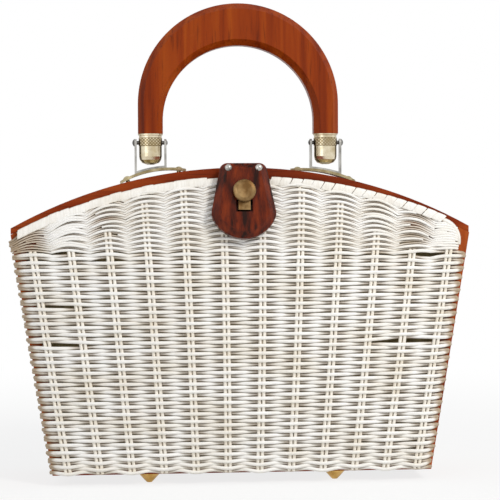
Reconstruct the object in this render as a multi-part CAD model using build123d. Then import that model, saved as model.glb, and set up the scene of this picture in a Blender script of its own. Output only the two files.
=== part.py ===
from build123d import *
from math import atan, atan2, cos, degrees, hypot, pi, sin, sqrt
import os

# Wicker handbag with a wooden case, an arched lid and an arched handle.
# Millimetres. X to the right, Y to the back, Z up. The feet stand on Z = 0.

# Case
lid_half = 152.6
base_half = 126.5
lid_top = 210.0
lid_rise = 39.5
lid_mid_thick = 7.0
lid_end_thick = 4.0
lid_setback = 2.0
lid_gap = 0.3
case_depth = 70.0
board = 8.0
foot_height = 7.0
rail_height = 15.0
rail_thick = 4.0

# Cloth lining
lining_wall = 0.8
lining_gap = 0.2
lining_drop = 3.0

# Wicker panels
wicker_side_inset = 1.0
wicker_wall = 2.8
cane = 1.2
bulge = 11.0
stake_count = 12
weave_pitch = 9.6
ridge_shares = ((0.12, 0.0), (0.3, cane), (0.58, cane), (0.76, 0.0))
hollow_steps = 6
rim_height = 6.0
rim_proud = 0.5
front_rim_above = 1.0
back_rim_below = 3.0
rim_corner = 16.0

# Feet
foot_top_radius = 7.2
foot_tip_radius = 3.2
foot_from_end = 64.0
foot_from_face = 11.0
foot_shank_radius = 1.5
foot_shank = 6.0

# Handle
handle_outer = 68.3
handle_outer_z = 253.7
handle_inner = 51.5
handle_inner_z = 242.0
handle_thick = 16.0
handle_bevel = 4.0
ferrule_top = 233.6
ferrule_bottom = 212.7
ferrule_radius = 7.75
ferrule_wall = 1.0
ferrule_rim = 0.7
band_low = 225.2
band_high = 231.0
band_proud = 0.3
ferrule_round = 5.5
ferrule_curve = ((1.0, 0.0), (0.35, 0.22), (0.08, 0.6), (0.0, 1.0))
ferrule_rim_low = 1.2
ferrule_rim_step = 0.3
ferrule_floor = 1.6
ferrule_floor_taper = 3.0
dowel_gap = 0.1
pin_z = 227.6
pin_radius = 1.3
pin_head_radius = 2.6
pin_head = 1.5
pin_tail_radius = 1.9
pin_tail = 0.9
pin_fit = 0.05
bail_gap = 0.9
bail_thick = 1.5
bail_width = 5.2

# Base plates under the bails
plate_length = 45.0
plate_width = 20.0
plate_thick = 1.8
plate_centre = 58.2
plate_arch_left = 3.2
plate_arch_right = 2.2
rivet_radius = 1.4
rivet_head_radius = 2.4
rivet_head = 1.1
rivet_depth = 3.5
rivet_from_end = 5.0

# Lid hinges
hinge_x = 30.0
hinge_z = 202.0
hinge_radius = 1.6
hinge_pin = 0.8
leaf_thick = 1.0
leaf_width = 20.0
leaf_low = 9.0
leaf_high = 5.4
knuckle_gap = 0.3
screw_radius = 1.1
screw_head_radius = 1.7
screw_head = 0.6
screw_depth = 2.6

# Flap, hung from the front edge of the lid
flap_axis_out = 4.5
flap_axis_z = 208.5
flap_tilt = 11.0
flap_top_half = 14.8
flap_wide_half = 21.5
flap_above = 3.0
flap_wide_down = 31.0
flap_length = 47.2
flap_thick = 9.5
flap_bevel = 4.6
flap_corner = 9.0
flap_top_corner = 5.4
flap_knuckle = 1.8
flap_barrel_half = 8.0
flap_leaf_half = 13.0
flap_leaf_down = 8.5
flap_leaf_up = 2.9
flap_pin = 0.8
lid_leaf_depth = 14.0
dome_x = 10.0
dome_down = 0.9
dome_radius = 2.3
dome_high = 1.3
dome_shank = 1.0

# Clasp
knob_down = 17.0
knob_radius = 7.5
knob_thick = 3.4
knob_collar = 2.6
knob_profile = ((2.4, 0.0), (0.5, 0.9), (0.0, 1.7), (0.6, 2.6))
knob_waist = 3.0
knob_gap = 0.3
stem_room = 0.4
stem_radius = 1.5
collar_radius = 2.8
block_half = 3.9
block_down = 26.2
block_half_high = 3.1
block_proud = 1.6
slot_half = 5.5
slot_half_high = 4.0
clasp_plate_half = 3.0
clasp_plate_thick = 0.9
tongue_length = 9.0
tongue_width = 3.2
tongue_thick = 1.7
tongue_gap = 0.5
keeper_half = 8.0
keeper_top = 11.0
keeper_bottom = 25.0
keeper_wall = 1.0
keeper_slot = 4.4
keeper_lip = 1.0
keeper_gap = 0.5
keeper_cavity = 3.2
clearance = 0.15

# Derived places
half_depth = case_depth / 2
floor_z = foot_height
under_mid = lid_top - lid_mid_thick
under_rise = lid_rise + lid_end_thick - lid_mid_thick
lid_radius = (lid_half**2 + lid_rise**2) / (2 * lid_rise)
under_radius = (lid_half**2 + under_rise**2) / (2 * under_rise)
lid_end_low = under_mid - under_rise
lean = (lid_half - base_half) / (lid_end_low - floor_z)
lid_front = -half_depth + lid_setback
hinge_y = half_depth + leaf_thick + 0.8 * hinge_radius - 0.5
leg_x = (handle_outer + handle_inner) / 2
flap_axis_y = lid_front - flap_axis_out
far = 400.0


def slab(outline, y_low, y_high):
    """An outline drawn from the front, X across and Z up, given a depth."""
    return extrude(Plane.XZ.offset(-y_high) * outline, y_high - y_low)


def bar(outline, x_low, x_high):
    """An outline drawn from the side, Y across and Z up, given a width."""
    return extrude(Plane.YZ.offset(x_low) * outline, x_high - x_low)


def block(x_low, x_high, y_low, y_high, z_low, z_high):
    size = (x_high - x_low, y_high - y_low, z_high - z_low)
    middle = ((x_low + x_high) / 2, (y_low + y_high) / 2, (z_low + z_high) / 2)
    return Pos(*middle) * Box(*size)


def rod_x(radius, x_low, x_high, y, z):
    """A round rod along X."""
    return Pos((x_low + x_high) / 2, y, z) * Rot(0, 90, 0) * Cylinder(radius, x_high - x_low)


def rod_y(radius, y_low, y_high, x, z):
    """A round rod along Y."""
    return Pos(x, (y_low + y_high) / 2, z) * Rot(90, 0, 0) * Cylinder(radius, y_high - y_low)


def dome(radius, height):
    """A shallow round head standing on Z = 0."""
    ball = (radius**2 + height**2) / (2 * height)
    cap = Pos(0, 0, height - ball) * Sphere(ball)
    return cap & Pos(0, 0, height / 2) * Cylinder(2 * radius, height)


def lid_z(x):
    """Height of the lid's top face."""
    return lid_top - lid_radius + sqrt(lid_radius**2 - x**2)


def case_half(z, inset=0.0):
    """Half width of the case at a height, inside an inset from its sides."""
    return base_half + lean * (z - floor_z) - inset * sqrt(1 + lean**2)


def case_outline(inset, low, drop):
    """The case seen from the front, between its sloping sides, a level and the lid."""
    corners = [
        (-case_half(low, inset), low),
        (case_half(low, inset), low),
        (case_half(far, inset), far),
        (-case_half(far, inset), far),
    ]
    sides = make_face(Polyline(*corners, close=True))
    arch = Pos(0, under_mid - under_radius) * Circle(under_radius - drop)
    return sides & arch


def right_half(part):
    return part & block(0, far, -far, far, -far, far)


# Wooden case


def make_side_boards():
    ring = case_outline(0, floor_z, lid_gap) - case_outline(board, floor_z - board, -board)
    boards = slab(ring, -half_depth, half_depth)
    boards = boards & block(-far, far, -far, far, floor_z, far)
    right = right_half(boards)
    return mirror(right, Plane.YZ), right


def make_bottom_board():
    outline = case_outline(board, floor_z, lid_gap) & Pos(0, floor_z + board / 2) * Rectangle(far, board)
    part = slab(outline, -half_depth, half_depth)
    for x, y in foot_places():
        part -= Pos(x, y, floor_z + foot_shank / 2) * Cylinder(foot_shank_radius, foot_shank)
    return part


def make_rail(y_low, y_high):
    ring = case_outline(board, floor_z, lid_gap) - case_outline(-far, floor_z - far, lid_gap + rail_height)
    return slab(ring, y_low, y_high)


def make_lining():
    inset = board + lining_gap
    low = floor_z + board + lining_gap
    depth = half_depth - rail_thick - lining_gap
    outer = slab(case_outline(inset, low, lining_drop), -depth, depth)
    wall = lining_wall
    inner = slab(case_outline(inset + wall, low + wall, -board), -depth + wall, depth - wall)
    return outer - inner


# Feet


def foot_places():
    x = base_half - foot_from_end
    y = half_depth - foot_from_face
    return [(-x, -y), (x, -y), (-x, y), (x, y)]


def make_foot(x, y):
    """A turned brass foot: a cone with a rounded tip and a shank in the board."""
    tip = 1.4
    outline = Polyline(
        (0, 0),
        (foot_tip_radius - tip, 0),
        (foot_tip_radius, tip),
        (foot_top_radius, floor_z - 1.2),
        (foot_top_radius, floor_z),
        (foot_shank_radius, floor_z),
        (foot_shank_radius, floor_z + foot_shank),
        (0, floor_z + foot_shank),
        close=True,
    )
    turned = revolve(Plane.XZ * make_face(outline), Axis.Z)
    return Pos(x, y, 0) * turned


# Wicker panels, modelled at the front and mirrored for the back


def weave_top(share):
    """Height of the lid's underside over an upright at this share of the half width."""
    return under_mid - under_radius + sqrt(under_radius**2 - (share * lid_half) ** 2)


def weave_depth(share, z):
    """How far the weave bulges out: not at all at its edges, and most in the middle."""
    middle = (floor_z + weave_top(share)) / 2
    reach = (weave_top(share) - floor_z) / 2
    upright = max(0.0, 1 - ((z - middle) / reach) ** 2)
    return bulge * upright * (1 - share**2)


def weave_line(share, first, hollow):
    """Upright section of the weave at one share of the width, as (y, z) points."""
    back = -half_depth
    high = under_mid + front_rim_above
    points = [(back, floor_z), (back - wicker_wall, floor_z)]
    z = floor_z + first
    while z + ridge_shares[-1][0] * weave_pitch < high:
        for share_up, proud in ridge_shares:
            level = z + share_up * weave_pitch
            points.append((back - wicker_wall - weave_depth(share, level) - proud, level))
        z += weave_pitch
    points.append((back - wicker_wall, high))
    points.append((back, high))
    if hollow:
        low = floor_z + board
        rail_low = weave_top(share) - rail_height
        points.append((back, rail_low))
        for i in range(hollow_steps + 1):
            level = rail_low + (low - rail_low) * i / hollow_steps
            points.append((back - weave_depth(share, level), level))
        points.append((back, low))
    return points


def weave_band(i, first):
    """The weave over one stake, between two uprights that fan out like the case's sides."""
    sections = []
    for j in (i, i + 1):
        share = 2 * j / stake_count - 1
        line = weave_line(share, first, 0 < i < stake_count - 1)
        sections.append(make_face(Polyline(*[(share * case_half(z), y, z) for y, z in line], close=True)))
    return loft(sections, ruled=True)


def make_weave():
    """The whole bulged weave: the canes lie over each stake half a pitch from its neighbours'."""
    bands = [weave_band(i, i % 2 * weave_pitch / 2) for i in range(stake_count)]
    return bands[0].fuse(*bands[1:])


def make_wicker(weave, rim_drop):
    """A woven panel, cut to the case's outline and finished with a wrapped rim."""
    low = floor_z + 0.5
    front = -half_depth - wicker_wall - bulge - 2 * cane
    edge = case_outline(wicker_side_inset, low, rim_drop)
    rim = edge - case_outline(-far, low - far, rim_drop + rim_height)
    corners = [v for v in edge.vertices() if v.Z > lid_end_low - 20 or v.Y > lid_end_low - 20]
    rounded = fillet(corners, rim_corner)
    rim_slab = slab(rim & rounded, -half_depth - wicker_wall - cane - rim_proud, -half_depth)
    return (weave & slab(rounded, front, -half_depth)) + rim_slab


# Lid


def make_lid():
    left_end = Line((-lid_half, lid_z(lid_half)), (-lid_half, lid_end_low))
    right_end = Line((lid_half, lid_end_low), (lid_half, lid_z(lid_half)))
    under = ThreePointArc((-lid_half, lid_end_low), (0, under_mid), (lid_half, lid_end_low))
    top = ThreePointArc((lid_half, lid_z(lid_half)), (0, lid_top), (-lid_half, lid_z(lid_half)))
    return slab(make_face([left_end, under, right_end, top]), lid_front, half_depth)


def plate_circle(side, arch):
    """Centre and radius of a base plate's underside, which bears on its two ends."""
    inner = plate_centre - plate_length / 2
    outer = plate_centre + plate_length / 2
    p = (side * inner, lid_z(inner))
    q = (side * outer, lid_z(outer))
    chord = hypot(q[0] - p[0], q[1] - p[1])
    middle = ((p[0] + q[0]) / 2, (p[1] + q[1]) / 2)
    lid_sag = lid_radius - sqrt(lid_radius**2 - (chord / 2) ** 2)
    sag = arch + lid_sag
    radius = ((chord / 2) ** 2 + sag**2) / (2 * sag)
    length = hypot(middle[0], middle[1] - (lid_top - lid_radius))
    down = (-middle[0] / length, -(middle[1] - (lid_top - lid_radius)) / length)
    reach = radius - sag
    return (middle[0] + down[0] * reach, middle[1] + down[1] * reach), radius


def make_base_plate(side, arch):
    (x, z), radius = plate_circle(side, arch)
    ring = Pos(x, z) * (Circle(radius + plate_thick) - Circle(radius))
    strip = slab(ring, -plate_width / 2, plate_width / 2)
    footprint = SlotOverall(plate_length, plate_width)
    plan = Pos(side * plate_centre, 0, lid_top) * extrude(footprint, 30, both=True)
    part = strip & plan
    for place in rivet_places(side, arch):
        part -= place * Cylinder(rivet_radius, 4 * rivet_depth)
    return part


def rivet_places(side, arch):
    """Where the base plate's two rivets stand, square to the plate."""
    (x, z), radius = plate_circle(side, arch)
    places = []
    for offset in (rivet_from_end - plate_length / 2, plate_length / 2 - rivet_from_end):
        rivet_x = side * plate_centre + offset
        lean_angle = atan2(rivet_x - x, sqrt(radius**2 - (rivet_x - x) ** 2))
        top_z = z + sqrt(radius**2 - (rivet_x - x) ** 2)
        places.append(Pos(rivet_x, 0, top_z) * Rot(0, degrees(lean_angle), 0))
    return places


def make_plate_rivets(side, arch):
    rivets = []
    for place in rivet_places(side, arch):
        head = Pos(0, 0, plate_thick) * dome(rivet_head_radius, rivet_head)
        shank = Cylinder(rivet_radius, plate_thick + rivet_depth)
        shank = Pos(0, 0, (plate_thick - rivet_depth) / 2) * shank
        rivets.append(place * (head + shank))
    return Compound(rivets)


def make_bail(side, arch):
    """A strip bent into a U: two legs with round ends beside the ferrule, and a foot on the plate."""
    (x, z), radius = plate_circle(side, arch)
    inside = ferrule_radius + ferrule_rim + bail_gap
    outside = inside + bail_thick
    legs = Pos(0, (pin_z + lid_top) / 2 - 10) * Rectangle(bail_width, pin_z - lid_top + 20)
    ears = legs + Pos(0, pin_z) * Circle(bail_width / 2)
    centre = side * leg_x
    part = bar(ears, centre - outside, centre + outside) - bar(ears, centre - inside, centre + inside)
    under = Pos(x, z) * Circle(radius + plate_thick)
    part -= slab(under, -half_depth, half_depth)
    foot_ring = Pos(x, z) * (Circle(radius + plate_thick + bail_thick) - Circle(radius + plate_thick))
    foot = slab(foot_ring, -bail_width / 2, bail_width / 2)
    foot = foot & block(centre - outside, centre + outside, -bail_width, bail_width, lid_end_low, pin_z)
    part += foot
    part -= rod_x(pin_radius, centre - far, centre + far, 0, pin_z)
    return part


def make_pin(side):
    outside = ferrule_radius + ferrule_rim + bail_gap + bail_thick
    centre = side * leg_x
    part = rod_x(pin_radius, -outside, outside, 0, 0)
    head = Pos(outside, 0, 0) * Rot(0, 90, 0) * dome(pin_head_radius, pin_head)
    tail = Pos(-outside, 0, 0) * Rot(0, -90, 0) * dome(pin_tail_radius, pin_tail)
    turned = part + head + tail
    if side < 0:
        turned = mirror(turned, Plane.YZ)
    return Pos(centre, 0, pin_z) * turned


# Lid hinges


def hinge_sections():
    """Where the three knuckles of a hinge run along X, from its middle."""
    third = leaf_width / 6
    gap = knuckle_gap / 2
    return [(-3 * third, -third - gap), (-third + gap, third - gap), (third + gap, 3 * third)]


def make_hinge(x):
    """Case leaf, lid leaf, pin and screws of one small butt hinge."""
    bore = rod_x(hinge_pin + pin_fit, x - leaf_width, x + leaf_width, hinge_y, hinge_z)
    outer = half_depth + leaf_thick
    knuckles = [rod_x(hinge_radius, x + a, x + b, hinge_y, hinge_z) for a, b in hinge_sections()]
    left = x - leaf_width / 2
    right = x + leaf_width / 2
    low = block(left, right, half_depth, outer, hinge_z - leaf_low, hinge_z - 0.9)
    high = block(left, right, half_depth, outer, hinge_z + 1.5, hinge_z + leaf_high)
    (a, b) = hinge_sections()[1]
    web = block(x + a, x + b, half_depth + 0.05, outer, hinge_z, hinge_z + 1.6)
    clear = rod_x(hinge_radius + knuckle_gap, x + a - knuckle_gap, x + b + knuckle_gap, hinge_y, hinge_z)
    case_leaf = (low - clear) + knuckles[0] + knuckles[2]
    lid_leaf = high + knuckles[1] + web
    case_leaf = case_leaf - bore - block(-far, far, 0, half_depth, 0, far)
    lid_leaf = lid_leaf - bore - block(-far, far, 0, half_depth, 0, far)
    tight = hinge_pin + pin_fit
    pin = rod_x(hinge_pin, x - leaf_width / 2, x + leaf_width / 2, hinge_y, hinge_z)
    heads = [rod_x(tight + 0.5, x - leaf_width / 2 - 0.6, x - leaf_width / 2, hinge_y, hinge_z)]
    heads.append(rod_x(tight + 0.5, x + leaf_width / 2, x + leaf_width / 2 + 0.6, hinge_y, hinge_z))
    pin = pin + heads[0] + heads[1]
    return case_leaf, lid_leaf, pin


def make_screw(x, z):
    """A small screw driven forward into the wood through a leaf."""
    outer = half_depth + leaf_thick
    shank = rod_y(screw_radius, outer - leaf_thick - screw_depth, outer, x, z)
    head = Pos(x, outer, z) * Rot(-90, 0, 0) * dome(screw_head_radius, screw_head)
    return shank + head


def screw_row(x_list, z):
    return Compound([make_screw(x, z) for x in x_list])


def drill(part, screws):
    """Clears the wood or brass round each screw's shank."""
    for solid in screws.solids():
        middle = solid.bounding_box().center()
        part = part - rod_y(screw_radius, 0, half_depth + 5, middle.X, middle.Z)
    return part


# Handle


def make_handle():
    outer = Pos(0, handle_outer_z) * Circle(handle_outer)
    legs = Rectangle(2 * handle_outer, handle_outer_z - ferrule_top)
    outer += Pos(0, (handle_outer_z + ferrule_top) / 2) * legs
    inner = Pos(0, handle_inner_z) * Circle(handle_inner)
    inner += Pos(0, handle_inner_z - 25) * Rectangle(2 * handle_inner, 50)
    below = Pos(0, ferrule_top - 50) * Rectangle(4 * handle_outer, 100)
    arch = slab(outer - inner - below, -handle_thick / 2, handle_thick / 2)
    rims = arch.edges().filter_by(lambda e: abs(abs(e.center().Y) - handle_thick / 2) < 0.01)
    rims = rims.filter_by(lambda e: e.center().Z > ferrule_top + 0.5)
    arch = chamfer(rims, handle_bevel)
    for side in (-1, 1):
        radius = ferrule_radius - ferrule_wall - dowel_gap
        low = ferrule_bottom + ferrule_round - ferrule_wall + dowel_gap
        dowel = Pos(side * leg_x, 0, (low + ferrule_top) / 2) * Cylinder(radius, ferrule_top - low)
        arch += dowel
    return arch - rod_x(pin_radius + 0.3, -far, far, 0, pin_z)


def make_ferrule(side):
    """A drawn brass cup with a rolled rim, a raised band and a round bottom."""
    inner = ferrule_radius - ferrule_wall
    outside = [
        (ferrule_radius - share_in * ferrule_round, ferrule_bottom + share_up * ferrule_round)
        for share_in, share_up in ferrule_curve
    ]
    outline = Polyline(
        (0, ferrule_bottom),
        *outside,
        (ferrule_radius, band_low),
        (ferrule_radius + band_proud, band_low + band_proud),
        (ferrule_radius + band_proud, band_high - band_proud),
        (ferrule_radius, band_high),
        (ferrule_radius, ferrule_top - ferrule_rim_low),
        (ferrule_radius + ferrule_rim, ferrule_top - ferrule_rim_low + ferrule_rim_step),
        (ferrule_radius + ferrule_rim, ferrule_top),
        (inner, ferrule_top),
        (inner, ferrule_bottom + ferrule_round - ferrule_wall),
        (inner - ferrule_floor_taper, ferrule_bottom + ferrule_floor),
        (0, ferrule_bottom + ferrule_floor),
        close=True,
    )
    cup = revolve(Plane.XZ * make_face(outline), Axis.Z)
    centre = side * leg_x
    return Pos(centre, 0, 0) * cup - rod_x(pin_radius + pin_fit, centre - 20, centre + 20, 0, pin_z)


# Flap and clasp, modelled upright and then leaned out to rest against the weave.
# Here Y = 0, Z = 0 is the flap's hinge, -Y is outward and -Z is down.

flap_place = Pos(0, flap_axis_y, flap_axis_z) * Rot(-flap_tilt, 0, 0)
flap_back = -flap_knuckle
flap_front = flap_back - flap_thick
wide_z = -flap_wide_down


def make_flap():
    depth = flap_length - flap_wide_down
    radius = (flap_wide_half**2 + depth**2) / (2 * depth)
    bottom = ThreePointArc(
        (flap_wide_half, wide_z),
        (0, -flap_length),
        (-flap_wide_half, wide_z),
    )
    edges = [
        bottom,
        Line((-flap_wide_half, wide_z), (-flap_top_half, flap_above)),
        Line((-flap_top_half, flap_above), (flap_top_half, flap_above)),
        Line((flap_top_half, flap_above), (flap_wide_half, wide_z)),
    ]
    outline = make_face(edges)
    wide = [v for v in outline.vertices() if abs(v.Y - wide_z) < 0.1]
    outline = fillet(wide, min(flap_corner, 0.4 * radius))
    tops = [v for v in outline.vertices() if abs(v.Y - flap_above) < 0.1]
    outline = fillet(tops, flap_top_corner)
    body = slab(outline, flap_front, flap_back)
    rims = body.edges().filter_by(lambda e: abs(e.center().Y - flap_front) < 0.01)
    body = chamfer(rims, flap_bevel)
    slot_z = -block_down
    body -= rod_y(stem_radius + stem_room, flap_front - 1, flap_back + 1, 0, -knob_down)
    for half, half_high in ((slot_half, slot_half_high), (block_half, block_half_high)):
        low = slot_z - half_high
        body -= block(-half, half, flap_front - 1, flap_front + 6, low, slot_z + half_high)
    for side in (-1, 1):
        body -= rod_y(dome_shank, flap_front - 1, flap_back + 1, side * dome_x, -dome_down)
    return body


def make_flap_rivets():
    rivets = []
    for side in (-1, 1):
        head = Pos(side * dome_x, flap_front, -dome_down) * Rot(90, 0, 0) * dome(dome_radius, dome_high)
        shank = rod_y(dome_shank, flap_front, flap_back + leaf_thick, side * dome_x, -dome_down)
        rivets.append(head + shank)
    return rivets


def make_flap_leaf():
    """The flap's hinge leaf, with its knuckle in the middle of the barrel."""
    third = flap_barrel_half / 2
    knuckle = rod_x(flap_knuckle, -third + 0.15, third - 0.15, 0, 0)
    top = flap_leaf_up
    leaf = block(-flap_leaf_half, flap_leaf_half, flap_back, flap_back + leaf_thick, -flap_leaf_down, top)
    room_half = flap_barrel_half + 0.3
    barrel_room = block(-room_half, room_half, flap_back - 1, 3, -flap_knuckle - 0.3, 10)
    web = block(-third + 0.15, third - 0.15, flap_back, flap_back + leaf_thick, -flap_knuckle - 0.4, 0)
    leaf = (leaf - barrel_room) + web + knuckle
    leaf -= block(-far, far, -far, flap_back, -far, far)
    leaf -= rod_x(flap_pin + pin_fit, -20, 20, 0, 0)
    for side in (-1, 1):
        leaf -= rod_y(dome_shank, flap_back - 1, flap_back + 3, side * dome_x, -dome_down)
    return leaf


def make_clasp_plate():
    """The brass block in the flap's slot, with the strap that carries the knob's stem."""
    slot_z = -block_down
    proud = flap_front - block_proud
    strap = block(-clasp_plate_half, clasp_plate_half, flap_front - clasp_plate_thick, flap_front,
                  slot_z, -knob_down)
    collar = rod_y(knob_radius - 2.5, flap_front - clasp_plate_thick, flap_front, 0, -knob_down)
    lump_low = slot_z - block_half_high
    lump = block(-block_half, block_half, proud, flap_front + 5.5, lump_low, slot_z + block_half_high)
    return strap + collar + lump - rod_y(stem_radius + pin_fit, -40, 40, 0, -knob_down)


def make_knob():
    """A turned brass button: dished head, waisted collar and a stem through the flap."""
    head_back = flap_front - knob_collar
    collar_end = -knob_thick - knob_collar + clasp_plate_thick + knob_gap
    outline = Polyline(
        (0, 0),
        *[(knob_radius - narrower, -down) for narrower, down in knob_profile],
        (knob_radius - knob_waist, -knob_thick),
        (collar_radius, -knob_thick),
        (collar_radius, collar_end),
        (0, collar_end),
        close=True,
    )
    turned = revolve(Plane.XZ * make_face(outline), Axis.Z)
    head = Pos(0, head_back - knob_thick, -knob_down) * Rot(90, 0, 0) * turned
    stem = rod_y(stem_radius, head_back - 1, tongue_back, 0, -knob_down)
    return head + stem


lip_front = flap_back + keeper_gap
lip_back = lip_front + keeper_lip
tongue_front = lip_back + tongue_gap
tongue_back = tongue_front + tongue_thick


def make_tongue():
    half = tongue_length / 2
    bar_half = tongue_width / 2
    part = block(-bar_half, bar_half, tongue_front, tongue_back, -knob_down - half, -knob_down + half)
    return part - rod_y(stem_radius, tongue_front - 1, tongue_back + 1, 0, -knob_down)


def make_keeper():
    """A brass box on the front rail: its slot is open at the top, and its lips hold a turned tongue."""
    outer = block(-keeper_half, keeper_half, lip_front, lip_front + 12, -keeper_bottom, -keeper_top)
    cavity_back = lip_back + keeper_cavity
    cavity = block(-keeper_half + keeper_wall, keeper_half - keeper_wall, lip_back, cavity_back,
                   -keeper_bottom + keeper_wall, -keeper_top - keeper_wall)
    mouth = block(-keeper_slot / 2, keeper_slot / 2, lip_front - 1, cavity_back,
                  -knob_down - tongue_length / 2 - 0.8, 5)
    part = flap_place * (outer - cavity - mouth)
    return part & block(-far, far, -far, -half_depth, 0, far)


def make_lid_leaf():
    """The lid's half of the flap hinge: a plate let into the lid and two knuckles."""
    third = flap_barrel_half / 2
    y, z = flap_axis_y, flap_axis_z
    top = z + flap_knuckle
    plate = block(-flap_barrel_half, flap_barrel_half, y, y + lid_leaf_depth, top - leaf_thick, top)
    room = rod_x(flap_knuckle + 0.3, -third - 0.15, third + 0.15, y, z)
    part = plate - room
    for a, b in ((-flap_barrel_half, -third - 0.15), (third + 0.15, flap_barrel_half)):
        part += rod_x(flap_knuckle, a, b, y, z)
    return part - rod_x(flap_pin + pin_fit, -20, 20, y, z)


def make_flap_pin():
    y, z = flap_axis_y, flap_axis_z
    return rod_x(flap_pin, -flap_barrel_half, flap_barrel_half, y, z)


# Assembly

parts = {}
parts["side_board_left"], parts["side_board_right"] = make_side_boards()
parts["bottom_board"] = make_bottom_board()
parts["front_rail"] = make_rail(-half_depth, -half_depth + rail_thick)
parts["back_rail"] = make_rail(half_depth - rail_thick, half_depth)
parts["lining"] = make_lining()
for label, (x, y) in zip(("front_left", "front_right", "back_left", "back_right"), foot_places()):
    parts["foot_" + label] = make_foot(x, y)

lid = make_lid()
lid_leaf = make_lid_leaf()
leaf_room = flap_axis_z + flap_knuckle - leaf_thick
leaf_back = flap_axis_y + lid_leaf_depth
lid -= block(-flap_barrel_half, flap_barrel_half, lid_front - 1, leaf_back, leaf_room, lid_top + 5)
parts["flap_hinge_lid_leaf"] = lid_leaf
parts["flap_hinge_pin"] = make_flap_pin()

case_screws = []
lid_screws = []
weave = make_weave()
back_wicker = mirror(make_wicker(weave, back_rim_below), Plane.XZ)
front_wicker = make_wicker(weave, -front_rim_above)
for label, side in (("left", -1), ("right", 1)):
    case_leaf, upper_leaf, pin = make_hinge(side * hinge_x)
    spread = leaf_width / 2 - 4
    screw_places = [side * hinge_x - spread, side * hinge_x + spread]
    lower = screw_row(screw_places, hinge_z - leaf_low / 2 - 1.5)
    upper = screw_row(screw_places, hinge_z + leaf_high - screw_head_radius - 0.1)
    case_screws.append(lower)
    lid_screws.append(upper)
    parts["hinge_case_leaf_" + label] = drill(case_leaf, lower)
    parts["hinge_lid_leaf_" + label] = drill(upper_leaf, upper)
    parts["hinge_pin_" + label] = pin
    parts["back_rail"] = drill(parts["back_rail"], lower)
    lid = drill(lid, upper)
    reach = leaf_width / 2 + 1.0
    back_wicker -= block(side * hinge_x - reach, side * hinge_x + reach, half_depth - 1, half_depth + 30,
                         hinge_z - leaf_low - 0.5, lid_top + 10)
parts["case_hinge_screws"] = Compound([s for row in case_screws for s in row.solids()])
parts["lid_hinge_screws"] = Compound([s for row in lid_screws for s in row.solids()])

for label, side, arch in (("left", -1, plate_arch_left), ("right", 1, plate_arch_right)):
    parts["base_plate_" + label] = make_base_plate(side, arch)
    parts["plate_rivets_" + label] = make_plate_rivets(side, arch)
    parts["bail_" + label] = make_bail(side, arch)
    parts["handle_pin_" + label] = make_pin(side)
    parts["ferrule_" + label] = make_ferrule(side)
    for place in rivet_places(side, arch):
        lid -= place * Pos(0, 0, -rivet_depth / 2) * Cylinder(rivet_radius, rivet_depth)
parts["lid"] = lid
parts["handle"] = make_handle()

parts["flap"] = flap_place * make_flap()
parts["flap_hinge_leaf"] = flap_place * make_flap_leaf()
for label, rivet in zip(("left", "right"), make_flap_rivets()):
    parts["flap_rivet_" + label] = flap_place * rivet
parts["clasp_plate"] = flap_place * make_clasp_plate()
parts["clasp_knob"] = flap_place * make_knob()
parts["clasp_tongue"] = flap_place * make_tongue()
keeper = make_keeper()
parts["clasp_keeper"] = keeper
window = block(-keeper_half - clearance, keeper_half + clearance, -half_depth - 30, -half_depth,
               flap_axis_z - keeper_bottom - 0.6, lid_top)
leaf_window = block(-flap_leaf_half - 1, flap_leaf_half + 1, -half_depth - 30, -half_depth,
                    flap_axis_z - flap_leaf_down - 2.5, lid_top)
parts["front_wicker"] = front_wicker - window - leaf_window
parts["back_wicker"] = back_wicker

# The whole object is centred on the origin from front to back.
boxes = [part.bounding_box() for part in parts.values()]
shift = -(min(box.min.Y for box in boxes) + max(box.max.Y for box in boxes)) / 2

os.makedirs("parts", exist_ok=True)
for name, part in parts.items():
    export_step(Pos(0, shift, 0) * part, "parts/" + name + ".step")

print("shift in Y", round(shift, 3))
print("lid hinge", round(hinge_y + shift, 3), hinge_z)
print("handle axis", round(shift, 3), pin_z)
print("flap axis", round(flap_axis_y + shift, 3), flap_axis_z)
knob_y = flap_axis_y + shift - knob_down * sin(flap_tilt * pi / 180)
knob_z = flap_axis_z - knob_down * cos(flap_tilt * pi / 180)
print("knob axis tilt", flap_tilt, "at", round(knob_y, 3), round(knob_z, 3))
print("lid end slope", round(degrees(atan(lean)), 2))
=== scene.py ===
# %% [markdown]
# # A wicker handbag with a wooden case
# This lesson dresses a bag that has already been built as solids. Wood, brass and cloth
# parts keep their shapes and get materials here. The woven panels are made again strand
# by strand, because a real weave is what the eye looks for first on such a bag.

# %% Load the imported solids
import math
import random

import bpy
import numpy as np
from mathutils import Matrix, Vector


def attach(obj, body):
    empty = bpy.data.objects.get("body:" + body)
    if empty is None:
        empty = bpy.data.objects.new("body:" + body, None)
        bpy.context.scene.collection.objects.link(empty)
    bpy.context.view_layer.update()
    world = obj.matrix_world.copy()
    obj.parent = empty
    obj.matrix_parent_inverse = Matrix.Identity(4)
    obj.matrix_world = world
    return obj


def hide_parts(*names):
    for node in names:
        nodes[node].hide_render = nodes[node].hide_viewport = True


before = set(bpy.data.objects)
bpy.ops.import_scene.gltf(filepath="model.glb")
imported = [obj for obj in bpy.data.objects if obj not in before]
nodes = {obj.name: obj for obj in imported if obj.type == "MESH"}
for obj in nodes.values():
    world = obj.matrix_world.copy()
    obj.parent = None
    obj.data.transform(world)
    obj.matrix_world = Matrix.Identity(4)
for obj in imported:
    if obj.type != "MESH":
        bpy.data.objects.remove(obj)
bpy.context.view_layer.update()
bpy.ops.object.select_all(action="DESELECT")
bpy.context.view_layer.objects.active = None
random.seed(7)
MM = 0.001

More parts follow.
